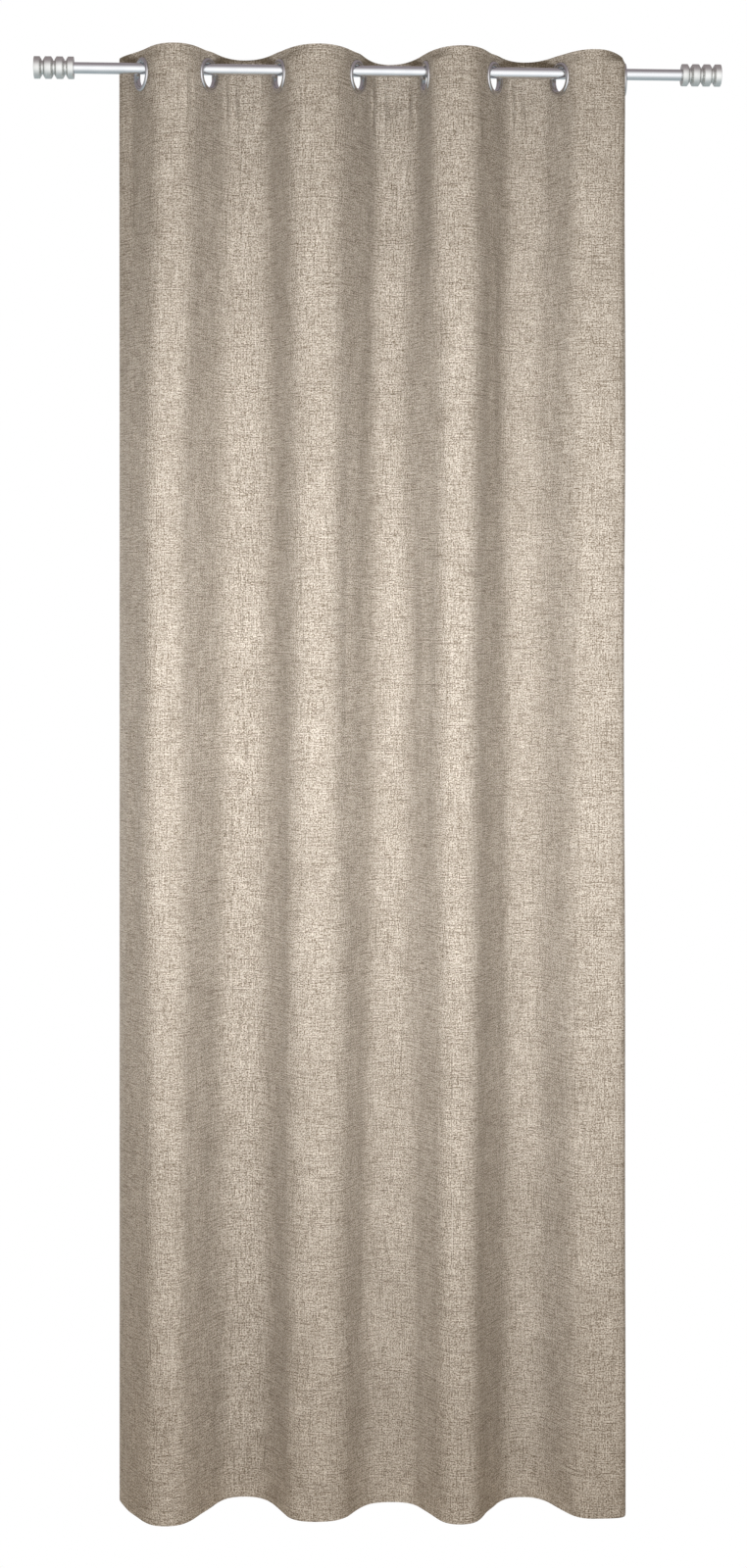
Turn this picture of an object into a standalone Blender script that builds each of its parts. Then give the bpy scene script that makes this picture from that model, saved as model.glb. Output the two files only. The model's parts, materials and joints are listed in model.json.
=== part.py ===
"""An eyelet curtain hanging on a round metal rod with ribbed finials.

Frame: metres, +Z up, and the room is on the -Y side. The origin is on the axis of the rod, midway
along it. The cloth is one panel. It is modelled as strips, one for each eyelet, that meet at the
crests of the folds, so that the folds close and open like an accordion along the rod.
"""
import math

import bmesh
import bpy
from mathutils import Matrix, Vector

# ---------------------------------------------------------------- driving dimensions (metres)
FIT_GAP = 0.0003                # clearance between two pieces that touch

ROD_DIAMETER = 0.019
ROD_WALL = 0.0012
ROD_FREE_LENGTH = 1.024         # bare tube between the inner faces of the finials
ROD_SOCKET_DEPTH = 0.030        # how far each end of the tube goes into its finial

FINIAL_LENGTH = 0.066
FINIAL_DIAMETER = 0.037
FINIAL_EDGE = 0.0006            # chamfer round the two flat faces
GROOVE_COUNT = 3
GROOVE_PITCH = 0.0191
GROOVE_WIDTH = 0.0036
GROOVE_FLOOR_WALL = 0.0020      # metal left between a groove and the socket
RIB_CHAMFER_WIDTH = 0.0026
RIB_CHAMFER_DEPTH = 0.0042

SCREW_DIAMETER = 0.004
SCREW_INSET = 0.0062            # from the finial's inner face to the screw
SCREW_SINK = 0.0007             # how far the screw's end lies below the rib's surface
SCREW_KEY = 0.002               # hexagon socket, across flats
SCREW_KEY_DEPTH = 0.0022

CLOTH_WIDTH = 1.450             # flat width of the panel
CLOTH_DROP = 2.450              # height of the panel
CLOTH_THICKNESS = 0.0012
SIDE_MARGIN = 0.075             # from each side edge to the nearest eyelet, along the cloth
TOP_MARGIN = 0.0135             # cloth above the rim of an eyelet
TAPE_HEIGHT = 0.100
TAPE_THICKNESS = 0.0008
TAPE_TOP_STEP = 0.002           # the tape stops this far below the top of the cloth

EYELET_COUNT = 8
EYELET_BORE = 0.040
EYELET_DIAMETER = 0.057
EYELET_BARREL_WALL = 0.0014
EYELET_RIM_HEIGHT = 0.0036      # how far a rim stands above the cloth
EYELET_LIP = 0.003              # how much the mouth is wider than the bore, on the radius
EYELET_REST_GAP = 0.0008        # between the top of the bore and the top of the rod
FLAT_BESIDE_EYELET = 0.003      # cloth held flat beyond the rim

LEFT_BARE_ROD = 0.1136          # from the left finial to the first eyelet
RIGHT_BARE_ROD = 0.1000         # from the last eyelet to the right finial
FOLD_PULL = (0.955, 1.029, 1.131, 0.999, 0.996, 0.969, 0.921)   # pitch of each fold, to the mean
STRIP_LEAN = (-8, -10, 4, -6, 10, -13, -10, 12)                # degrees, each strip at its eyelet
TAIL_ANGLE = (32, 76)           # degrees to the rod, at the left and the right side edge
BEND_REACH = 0.42               # how far a bend's handles reach, as a share of its span

CLOSE_ANGLE = 26                # degrees that each strip turns from rest to the closed stack

ROUND_SEGMENTS = 32
RING_SEGMENTS = 24
SCREW_SEGMENTS = 16
BEND_STEPS = 6                  # straight pieces in each half bend

# ------------------------------------------------------------------------- worked out from them
ROD_RADIUS = ROD_DIAMETER / 2
FINIAL_FACE = ROD_FREE_LENGTH / 2
EYELET_RADIUS = EYELET_DIAMETER / 2
EYELET_SPACING = (CLOTH_WIDTH - 2 * SIDE_MARGIN) / (EYELET_COUNT - 1)
EYELET_Z = ROD_RADIUS + EYELET_REST_GAP - EYELET_BORE / 2
FLAT_HALF = EYELET_RADIUS + FLAT_BESIDE_EYELET
CLOTH_TOP = EYELET_Z + EYELET_RADIUS + TOP_MARGIN
CLOTH_BOTTOM = CLOTH_TOP - CLOTH_DROP
BARREL_RADIUS = EYELET_BORE / 2 + EYELET_BARREL_WALL
CLOTH_HOLE_RADIUS = BARREL_RADIUS + FIT_GAP
TAPE_FRONT = -(CLOTH_THICKNESS / 2 + FIT_GAP)
TAPE_BACK = TAPE_FRONT - TAPE_THICKNESS
FOLD_SLIT = 2 * (-TAPE_BACK * math.tan(math.radians(CLOSE_ANGLE)) + FIT_GAP)

CLOTH_COLOUR = (0.44, 0.38, 0.31, 1)
TAPE_COLOUR = (0.62, 0.60, 0.56, 1)
CHROME_COLOUR = (0.75, 0.75, 0.76, 1)
STEEL_COLOUR = (0.70, 0.71, 0.73, 1)
ALUMINIUM_COLOUR = (0.80, 0.80, 0.78, 1)
DARK_STEEL_COLOUR = (0.12, 0.12, 0.13, 1)


# ------------------------------------------------------------------------------------- helpers
def clear_scene():
    for obj in list(bpy.data.objects):
        bpy.data.objects.remove(obj, do_unlink=True)


def finish(name, colour, roughness, metallic):
    """A material with the piece's colour, roughness and metallic value."""
    material = bpy.data.materials.new(name)
    material.use_nodes = True
    shader = material.node_tree.nodes["Principled BSDF"]
    shader.inputs["Base Color"].default_value = colour
    shader.inputs["Roughness"].default_value = roughness
    shader.inputs["Metallic"].default_value = metallic
    return material


def add_object(name, shape, place, colour, roughness, metallic):
    """Makes an object from a bmesh whose points are moved by the matrix place."""
    bmesh.ops.transform(shape, matrix=place, verts=shape.verts)
    bmesh.ops.recalc_face_normals(shape, faces=shape.faces)
    mesh = bpy.data.meshes.new(name)
    shape.to_mesh(mesh)
    shape.free()
    mesh.shade_smooth()
    mesh.set_sharp_from_angle(angle=math.radians(35))
    mesh.materials.append(finish(name, colour, roughness, metallic))
    obj = bpy.data.objects.new(name, mesh)
    bpy.context.scene.collection.objects.link(obj)
    return obj


def cut(obj, name, shape, place):
    """Cuts the solid shape out of obj."""
    cutter = add_object(name, shape, place, DARK_STEEL_COLOUR, 0.5, 0)
    cutter.hide_render = True
    cutter.display_type = "WIRE"
    boolean = obj.modifiers.new(name, "BOOLEAN")
    boolean.operation = "DIFFERENCE"
    boolean.object = cutter
    return cutter


def turned(profile, segments):
    """A solid turned about Z from a closed loop of (radius, height) points."""
    shape = bmesh.new()
    rings = []
    for radius, height in profile:
        if radius == 0:
            rings.append([shape.verts.new((0, 0, height))])
            continue
        angles = [2 * math.pi * i / segments for i in range(segments)]
        rings.append([shape.verts.new((radius * math.cos(a), radius * math.sin(a), height)) for a in angles])
    for ring, following in zip(rings, rings[1:] + rings[:1]):
        for i in range(segments):
            corners = [ring[i % len(ring)], ring[(i + 1) % segments % len(ring)],
                       following[(i + 1) % segments % len(following)], following[i % len(following)]]
            corners = list(dict.fromkeys(corners))
            if len(corners) > 2:
                shape.faces.new(corners)
    return shape


def cylinder(radius, bottom, top, segments):
    return turned([(0, bottom), (radius, bottom), (radius, top), (0, top)], segments)


def hang_on(pivot, obj):
    """Parents obj, whose points are in world places, to an empty on its joint's axis."""
    place = pivot.matrix_world.inverted()
    obj.data.transform(place)
    obj.parent = pivot


# ------------------------------------------------------------------------------ rod and finials
def rod_tube():
    half = ROD_FREE_LENGTH / 2 + ROD_SOCKET_DEPTH
    inner = ROD_RADIUS - ROD_WALL
    shape = turned([(inner, -half), (ROD_RADIUS, -half), (ROD_RADIUS, half), (inner, half)], ROUND_SEGMENTS)
    along_x = Matrix.Rotation(math.pi / 2, 4, "Y")
    add_object("rod_tube", shape, along_x, STEEL_COLOUR, 0.25, 1)


def finial_profile():
    """Half section of a finial: height 0 is the face that the tube enters."""
    outer = FINIAL_DIAMETER / 2
    socket = ROD_RADIUS + FIT_GAP
    floor = socket + GROOVE_FLOOR_WALL
    shoulder = outer - RIB_CHAMFER_DEPTH
    points = [(0, ROD_SOCKET_DEPTH + FIT_GAP), (socket, ROD_SOCKET_DEPTH + FIT_GAP), (socket, 0)]
    points += [(outer - FINIAL_EDGE, 0), (outer, FINIAL_EDGE)]
    for i in range(GROOVE_COUNT):
        middle = FINIAL_LENGTH / 2 + (i - (GROOVE_COUNT - 1) / 2) * GROOVE_PITCH
        near = middle - GROOVE_WIDTH / 2
        far = middle + GROOVE_WIDTH / 2
        points += [(outer, near - RIB_CHAMFER_WIDTH), (shoulder, near), (floor, near)]
        points += [(floor, far), (shoulder, far), (outer, far + RIB_CHAMFER_WIDTH)]
    points += [(outer, FINIAL_LENGTH - FINIAL_EDGE), (outer - FINIAL_EDGE, FINIAL_LENGTH), (0, FINIAL_LENGTH)]
    return points


def finial_with_screw(side, direction):
    """One finial and the grub screw that comes up into it from below; direction is -1 or 1."""
    outwards = Matrix.Translation((direction * FINIAL_FACE, 0, 0)) @ Matrix.Rotation(direction * math.pi / 2, 4, "Y")
    finial = add_object("finial_" + side, turned(finial_profile(), ROUND_SEGMENTS), outwards,
                        ALUMINIUM_COLOUR, 0.45, 1)
    screw_x = direction * (FINIAL_FACE + SCREW_INSET)
    downwards = Matrix.Translation((screw_x, 0, 0)) @ Matrix.Rotation(math.pi, 4, "X")
    hole = cylinder(SCREW_DIAMETER / 2 + FIT_GAP, ROD_RADIUS, FINIAL_DIAMETER, SCREW_SEGMENTS)
    cut(finial, "screw_hole_" + side, hole, downwards)
    tip = ROD_RADIUS + FIT_GAP
    end = FINIAL_DIAMETER / 2 - SCREW_SINK
    screw = add_object("finial_screw_" + side, cylinder(SCREW_DIAMETER / 2, tip, end, SCREW_SEGMENTS),
                       downwards, DARK_STEEL_COLOUR, 0.4, 1)
    key = cylinder(SCREW_KEY / math.sqrt(3), end - SCREW_KEY_DEPTH, end + SCREW_SINK, 6)
    cut(screw, "screw_key_" + side, key, downwards)


# ---------------------------------------------------------------------------- shape of the folds
def fold_side(fold):
    """-1 where the crest after that many folds comes towards the room, 1 where it goes to the wall."""
    return 1 if fold % 2 else -1


def fold_pitches():
    spread = ROD_FREE_LENGTH - LEFT_BARE_ROD - RIGHT_BARE_ROD
    return [spread * pull / sum(FOLD_PULL) for pull in FOLD_PULL]


def natural_angle(pitch):
    """Angle to the rod, at the eyelet, of a fold made of flats and one round bend."""
    bend = EYELET_SPACING / 2 - FLAT_HALF
    low, high = 0.05, 3.0
    for _ in range(50):
        angle = (low + high) / 2
        if FLAT_HALF * math.cos(angle) + bend * math.sin(angle) / angle > pitch / 2:
            low = angle
        else:
            high = angle
    return angle


def strip_angles(pitches):
    """Angle of each strip to the rod at its eyelet: the mean of its two folds, and its own lean."""
    natural = [natural_angle(pitch) for pitch in pitches]
    before = natural[:1] + natural
    after = natural + natural[-1:]
    return [(a + b) / 2 + math.radians(lean) for a, b, lean in zip(before, after, STRIP_LEAN)]


def half_bend(angle, half_pitch, depth):
    """Places and directions from the edge of the flat to the crest; the eyelet is at (0, 0)."""
    heading = Vector((math.cos(angle), math.sin(angle)))
    start = heading * FLAT_HALF
    end = Vector((half_pitch, depth))
    reach = BEND_REACH * (end - start).length
    handles = (start, start + heading * reach, end - Vector((reach, 0)), end)
    places = []
    for i in range(BEND_STEPS + 1):
        t = i / BEND_STEPS
        weights = ((1 - t) ** 3, 3 * t * (1 - t) ** 2, 3 * t * t * (1 - t), t ** 3)
        slopes = (-(1 - t) ** 2, (1 - t) * (1 - 3 * t), t * (2 - 3 * t), t * t)
        place = sum((w * p for w, p in zip(weights, handles)), Vector((0, 0)))
        direction = sum((s * p for s, p in zip(slopes, handles)), Vector((0, 0)))
        places.append((place, direction.normalized()))
    return places


def bend_length(places):
    return sum((b[0] - a[0]).length for a, b in zip(places, places[1:]))


def crest_depth(pitch, angle_before, angle_after):
    """Depth at which a fold takes up exactly the cloth between its two eyelets."""
    low, high = 0.0, EYELET_SPACING
    for _ in range(50):
        depth = (low + high) / 2
        used = 2 * FLAT_HALF
        for angle in (angle_before, angle_after):
            used += bend_length(half_bend(angle, pitch / 2, depth))
        if used < EYELET_SPACING:
            low = depth
        else:
            high = depth
    return depth


def tail(angle, end_angle):
    """Places and directions from the edge of the flat to the side edge, on one round bend."""
    heading = Vector((math.cos(angle), math.sin(angle)))
    start = heading * FLAT_HALF
    radius = (SIDE_MARGIN - FLAT_HALF) / (angle - end_angle)
    places = []
    for i in range(BEND_STEPS + 1):
        now = angle + (end_angle - angle) * i / BEND_STEPS
        step = Vector((math.sin(angle) - math.sin(now), math.cos(now) - math.cos(angle))) * radius
        places.append((start + step, Vector((math.cos(now), math.sin(now)))))
    return places


def shape_of_folds():
    """Works out the eyelets' places along the rod, the strips' angles and the crests' depths."""
    pitches = fold_pitches()
    angles = strip_angles(pitches)
    eyelets = [LEFT_BARE_ROD - FINIAL_FACE]
    for pitch in pitches:
        eyelets.append(eyelets[-1] + pitch)
    depths = [crest_depth(p, a, b) for p, a, b in zip(pitches, angles, angles[1:])]
    crests = [Vector(((a + b) / 2, fold_side(i) * depth, 0))
              for i, (a, b, depth) in enumerate(zip(eyelets, eyelets[1:], depths))]
    return eyelets, angles, pitches, depths, crests


def strip_path(index, eyelets, angles, pitches, depths):
    """Places and directions of one strip in plan, from its left end to its right end."""
    halves = []
    for fold, tail_angle in ((index - 1, TAIL_ANGLE[0]), (index, TAIL_ANGLE[1])):
        if 0 <= fold < len(pitches):
            half = half_bend(angles[index], pitches[fold] / 2, depths[fold])
            half[-1] = (half[-1][0] - Vector((FOLD_SLIT / 2, 0)), half[-1][1])
        else:
            half = tail(angles[index], math.radians(tail_angle))
        halves.append((half, fold_side(fold)))
    (left, left_side), (right, right_side) = halves
    path = [((eyelets[index] - p.x, left_side * p.y), (d.x, -left_side * d.y)) for p, d in reversed(left)]
    path += [((eyelets[index] + p.x, right_side * p.y), (d.x, right_side * d.y)) for p, d in right]
    return path


# ------------------------------------------------------------------------------ cloth and eyelets
def sheet_along(path, back, front, bottom, top):
    """A standing sheet between two offsets from the path; the front offset is towards the room."""
    shape = bmesh.new()
    columns = []
    for (x, y), (along_x, along_y) in path:
        corners = []
        for offset, height in ((back, bottom), (front, bottom), (front, top), (back, top)):
            corners.append(shape.verts.new((x + along_y * offset, y - along_x * offset, height)))
        columns.append(corners)
    for column, following in zip(columns, columns[1:]):
        for i in range(4):
            j = (i + 1) % 4
            shape.faces.new((column[i], column[j], following[j], following[i]))
    shape.faces.new(columns[0])
    shape.faces.new(columns[-1])
    return shape


def eyelet_place(x, angle, side):
    """Local X runs along the cloth, local Y up and local Z towards the room."""
    along = Vector((math.cos(angle), side * math.sin(angle), 0))
    up = Vector((0, 0, 1))
    outwards = along.cross(up)
    turn = Matrix((along, up, outwards)).transposed().to_4x4()
    return Matrix.Translation((x, 0, EYELET_Z)) @ turn


def front_ring():
    """The visible rim with the barrel that goes through cloth and tape."""
    bore = EYELET_BORE / 2
    seat = CLOTH_THICKNESS / 2 + FIT_GAP
    crown = seat + EYELET_RIM_HEIGHT
    profile = [(bore, TAPE_BACK - EYELET_RIM_HEIGHT / 2), (bore, crown - EYELET_RIM_HEIGHT / 2)]
    profile += [(bore + EYELET_LIP, crown - EYELET_RIM_HEIGHT / 8)]
    profile += [((bore + EYELET_LIP + EYELET_RADIUS) / 2, crown)]
    profile += [(EYELET_RADIUS, seat + EYELET_RIM_HEIGHT / 2), (EYELET_RADIUS, seat)]
    profile += [(BARREL_RADIUS, seat), (BARREL_RADIUS, TAPE_BACK - EYELET_RIM_HEIGHT / 2)]
    return turned(profile, RING_SEGMENTS)


def back_ring():
    """The washer that snaps over the end of the barrel behind the tape."""
    bore = BARREL_RADIUS + FIT_GAP
    seat = TAPE_BACK - FIT_GAP
    crown = seat - EYELET_RIM_HEIGHT
    mouth = EYELET_BORE / 2 + EYELET_LIP
    profile = [(bore, seat), (EYELET_RADIUS, seat), (EYELET_RADIUS, seat - EYELET_RIM_HEIGHT / 2)]
    profile += [((mouth + EYELET_RADIUS) / 2, crown), (mouth, crown + EYELET_RIM_HEIGHT / 8)]
    profile += [(bore, crown + EYELET_RIM_HEIGHT / 3)]
    return turned(profile, RING_SEGMENTS)


def curtain_strip(index, pivot, path, place):
    """One strip of cloth, its piece of heading tape and its eyelet, all on one pivot."""
    number = str(index + 1)
    cloth = add_object("curtain_" + number,
                       sheet_along(path, -CLOTH_THICKNESS / 2, CLOTH_THICKNESS / 2, CLOTH_BOTTOM, CLOTH_TOP),
                       Matrix.Identity(4), CLOTH_COLOUR, 0.9, 0)
    tape_top = CLOTH_TOP - TAPE_TOP_STEP
    tape = add_object("heading_tape_" + number,
                      sheet_along(path, TAPE_BACK, TAPE_FRONT, CLOTH_TOP - TAPE_HEIGHT, tape_top),
                      Matrix.Identity(4), TAPE_COLOUR, 0.8, 0)
    front = add_object("eyelet_front_" + number, front_ring(), place, CHROME_COLOUR, 0.15, 1)
    back = add_object("eyelet_back_" + number, back_ring(), place, CHROME_COLOUR, 0.15, 1)
    hole = cylinder(CLOTH_HOLE_RADIUS, -EYELET_BORE / 4, EYELET_BORE / 4, RING_SEGMENTS)
    cutter = cut(cloth, "eyelet_hole_" + number, hole, place)
    boolean = tape.modifiers.new("eyelet_hole", "BOOLEAN")
    boolean.operation = "DIFFERENCE"
    boolean.object = cutter
    for obj in (cloth, tape, front, back, cutter):
        hang_on(pivot, obj)


def curtain():
    """The strips, each on an empty at the vertical axis that it turns about.

    The first strip turns about its eyelet. Every other strip turns about the crest that it shares
    with the strip before it.
    """
    eyelets, angles, pitches, depths, crests = shape_of_folds()
    axes = [Vector((eyelets[0], 0, 0))] + crests
    parent = None
    for index, axis in enumerate(axes):
        pivot = bpy.data.objects.new("fold_axis_" + str(index + 1), None)
        bpy.context.scene.collection.objects.link(pivot)
        pivot.location = axis
        if parent:
            pivot.parent = parent
            pivot.location = axis - axes[index - 1]
        bpy.context.view_layer.update()
        path = strip_path(index, eyelets, angles, pitches, depths)
        place = eyelet_place(eyelets[index], angles[index], fold_side(index))
        curtain_strip(index, pivot, path, place)
        parent = pivot


def build():
    clear_scene()
    rod_tube()
    finial_with_screw("left", -1)
    finial_with_screw("right", 1)
    curtain()


build()
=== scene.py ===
"""Looks of an eyelet curtain on a metal rod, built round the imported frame."""
import json
import math

import bmesh
import bpy
import numpy as np
from mathutils import Matrix, Vector


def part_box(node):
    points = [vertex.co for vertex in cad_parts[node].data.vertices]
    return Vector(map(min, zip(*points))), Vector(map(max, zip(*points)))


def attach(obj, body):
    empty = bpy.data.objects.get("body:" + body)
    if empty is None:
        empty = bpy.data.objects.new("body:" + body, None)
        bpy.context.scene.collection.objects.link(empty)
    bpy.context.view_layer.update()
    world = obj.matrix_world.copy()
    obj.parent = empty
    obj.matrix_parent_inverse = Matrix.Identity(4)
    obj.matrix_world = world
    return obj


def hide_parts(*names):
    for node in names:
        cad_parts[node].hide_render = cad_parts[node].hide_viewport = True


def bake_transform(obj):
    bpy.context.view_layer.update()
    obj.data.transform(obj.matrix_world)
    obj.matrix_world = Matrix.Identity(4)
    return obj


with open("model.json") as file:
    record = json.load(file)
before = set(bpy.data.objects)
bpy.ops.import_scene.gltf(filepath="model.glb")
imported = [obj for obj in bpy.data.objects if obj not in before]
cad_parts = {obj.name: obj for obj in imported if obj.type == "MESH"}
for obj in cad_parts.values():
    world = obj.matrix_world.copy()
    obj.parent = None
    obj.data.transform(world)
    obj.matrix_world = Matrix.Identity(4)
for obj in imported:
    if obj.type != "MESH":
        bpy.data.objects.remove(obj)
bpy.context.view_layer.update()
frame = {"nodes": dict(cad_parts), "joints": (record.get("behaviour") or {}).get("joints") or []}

MM = 0.001
TINY = 1e-9
RNG = np.random.default_rng(7)


# ------------------------------------------------------------------------ places from the frame
def joint(name):
    return next(j for j in frame["joints"] if j["name"] == name)


def middle(node):
    low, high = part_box(node)
    return (Vector(low) + Vector(high)) / 2


def read_eyelets():
    """Each eyelet's place on the rod and the angle of its strip to the rod."""
    places = [joint("curtain_draw")["pos_m"][0]]
    for crest in CRESTS:
        places.append(2 * crest[0] - places[-1])
    angles = []
    for i in range(len(places)):
        outwards = middle(f"eyelet_front_{i + 1}") - middle(f"eyelet_back_{i + 1}")
        angles.append(math.atan2(abs(outwards.x), -outwards.y))
    return places, angles


CREST_COUNT = sum(j["name"].startswith("fold_bend_") for j in frame["joints"])
CRESTS = [joint(f"fold_bend_{i + 1}")["pos_m"] for i in range(CREST_COUNT)]
EYELETS, ANGLES = read_eyelets()
EYELET_Z = middle("eyelet_front_1").z
HEM_DROP = 0.005                # the hem hangs this far below the plain strips
TOP_DROP = 0.0013               # and the top edge this far below theirs
CLOTH_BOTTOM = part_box("curtain_1")[0][2] - HEM_DROP
CLOTH_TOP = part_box("curtain_1")[1][2] - TOP_DROP
ROD_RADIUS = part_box("rod_tube")[1][2]
ROD_UNDERSIDE = -ROD_RADIUS
ROD_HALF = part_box("rod_tube")[1][0]
FINIAL_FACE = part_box("finial_right")[0][0]
FINIAL_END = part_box("finial_right")[1][0]
FINIAL_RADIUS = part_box("finial_right")[1][2]
EYELET_RADIUS = (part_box("eyelet_front_1")[1][2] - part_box("eyelet_front_1")[0][2]) / 2

# ---------------------------------------------------------------- sizes of the cloth, in metres
EYELET_SPACING = 1.300 / 7      # along the cloth
SIDE_MARGIN = 0.075
CLOTH_WIDTH = 2 * SIDE_MARGIN + EYELET_SPACING * (len(EYELETS) - 1)
FLAT_HALF = EYELET_RADIUS + 0.0015
FLAT_HALF_LOW = 0.012           # the stiff flat beside each eyelet eases below the heading
FLAT_HALF_TOP = 0.004           # and above its rim
BEND_REACH = 0.42               # how far a bend's handles reach, as a share of its span
BEND_REACH_TOP = 0.20
LAST_BEND_REACH = 0.60          # the bend beside the right edge is squarer below the heading
LAST_CREST_REACH = 0.84
# The next five tables were not all chosen by hand. A separate fitting program worked out ANGLE_TOP
# and, but for its fourth value, DEPTH_TOP. The other three were adapted from the fitted values.
# depth of each fold at the rod, and at the hem
DEPTH_TOP = (0.0563, 0.0601, 0.0621, 0.0680, 0.0625, 0.0509, 0.0476)
DEPTH_HEM = (0.0500, 0.0740, 0.0440, 0.0360, 0.0660, 0.0480, 0.0530)
# below the heading each eyelet's line hangs this many mm along the rod from its eyelet
DRIFT = (-12, -13, 6, -4, -4, -5, -6, 1)
# angle of each strip to the rod in degrees, at the top edge and below the heading
ANGLE_TOP = (57, 50, 59, 55, 70, 49, 55, 76)
ANGLE_LOW = (60, 60, 68, 58, 62, 59, 62, 84)
# the same at the two side edges, each at the heading and at the hem
TAIL_ANGLE = {"left": (70, 74), "right": (76, 84)}
TAIL_STEPS = 60
CURVE_POINTS = 40
LEFT_EDGE_X = -0.4395           # the left side edge hangs straight from here
BELLY_LIMITS, BELLY_TRIES = (-0.6, 1.3), 30
SAG = (0, 1.0, 0, 3.8, 0, 1.0, 0)    # mm that the heading dips between two eyelets
SAG_FADE = 0.35                 # the dip is gone this far below the eyelets
CORNER_DROOP = 0.005            # the right top corner hangs lower
CORNER_FROM, CORNER_OVER = 0.55, 0.018    # share of the last fold, and height above its eyelet's hole
STIFF_BELOW = 0.05              # the cloth keeps the heading's shape this far below the eyelets
DRIFT_HEIGHT = 0.62             # and takes its lower shape over this much below that
FREE_FROM = 0.019               # above the eyelets the top edge takes its own shape from here
FREE_OVER = 0.021
FRONT_FACE = 0.5 * MM           # from the middle of the cloth to its room side
BACK_FACE = 0.4 * MM
HEM_EXTRA = 0.9 * MM            # a turned hem adds this behind
HEADING_HEIGHT = 0.100
HEADING_EXTRA = 1.2 * MM
BOTTOM_HEM = 0.022
SIDE_HEM = 0.020
SEAM_GROOVE = 0.35 * MM
SEAM_HALF = 1.2 * MM
STITCH_END = 0.006              # the side seams stop this far above the hem's edge
HOLE_RADIUS = 0.0242
HOLE_PULL = 0.0022              # points of the grid this near a hole's edge move onto it
FOLD_COLUMNS = 84
MARGIN_COLUMNS = 25
BODY_ROWS = 190
EDGE_FADE = 0.030               # unevenness dies out over this much beside a piece's long edges
WALL_SIDE_SHIFT = 5.0           # the wall side shows another stretch of the same weave


# ---------------------------------------------------------------------------------- shader help
def new_material(name):
    material = bpy.data.materials.new(name)
    material.use_nodes = True
    nodes = material.node_tree.nodes
    return material, nodes, material.node_tree.links, nodes["Principled BSDF"]


def node(nodes, kind, **values):
    made = nodes.new(kind)
    for key, value in values.items():
        if key in made.inputs:
            made.inputs[key].default_value = value
        else:
            setattr(made, key, value)
    return made


def stretched_noise(nodes, links, coordinates, scale, detail=2.0, rough=0.5):
    """Noise whose grain is drawn out along one direction."""
    mapping = node(nodes, "ShaderNodeMapping")
    mapping.inputs["Scale"].default_value = scale
    links.new(coordinates, mapping.inputs["Vector"])
    noise = node(nodes, "ShaderNodeTexNoise", Scale=1.0, Detail=detail, Roughness=rough)
    links.new(mapping.outputs["Vector"], noise.inputs["Vector"])
    return noise.outputs["Fac"]


def staggered(nodes, links, coordinates, axis):
    """Coordinates shifted along one axis by a different amount for every few yarns."""
    scale = (3, 150, 1) if axis == "X" else (150, 3, 1)
    drawn = stretched_noise(nodes, links, coordinates, scale)
    move = node(nodes, "ShaderNodeCombineXYZ")
    links.new(combine(nodes, links, "MULTIPLY", drawn, STAGGER), move.inputs[axis])
    moved = node(nodes, "ShaderNodeVectorMath", operation="ADD")
    links.new(coordinates, moved.inputs[0])
    links.new(move.outputs["Vector"], moved.inputs[1])
    return moved.outputs["Vector"]


def ramp(nodes, links, value, low, high, out_low=0.0, out_high=1.0):
    made = node(nodes, "ShaderNodeMapRange")
    made.inputs["From Min"].default_value = low
    made.inputs["From Max"].default_value = high
    made.inputs["To Min"].default_value = out_low
    made.inputs["To Max"].default_value = out_high
    links.new(value, made.inputs["Value"])
    return made.outputs["Result"]


def combine(nodes, links, operation, a, b):
    made = node(nodes, "ShaderNodeMath", operation=operation)
    for socket, value in zip(made.inputs, (a, b)):
        if isinstance(value, (int, float)):
            socket.default_value = value
        else:
            links.new(value, socket)
    return made.outputs["Value"]


def tint(nodes, links, factor, colour_a, colour_b):
    made = node(nodes, "ShaderNodeMix", data_type="RGBA")
    links.new(factor, made.inputs["Factor"])
    for socket, colour in ((made.inputs[6], colour_a), (made.inputs[7], colour_b)):
        if isinstance(colour, tuple):
            socket.default_value = colour
        else:
            links.new(colour, socket)
    return made.outputs[2]


# ------------------------------------------------------------------------------------ materials
YARNS_PER_METRE = 880
STAGGER = 0.35                  # metres, over the noise's whole range
THREAD_SHARE, FLECK_SHARE, CROSSING_SHARE = 0.34, 0.50, 0.16
DARK_SLUB_SHARE, PALE_SLUB_SHARE = 0.55, 0.45
YARN_DARK = (0.128, 0.093, 0.058, 1)
YARN_PALE = (0.690, 0.646, 0.585, 1)
SLUB_DARK = (0.110, 0.084, 0.056, 1)
SLUB_PALE = (0.750, 0.712, 0.662, 1)


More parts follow.
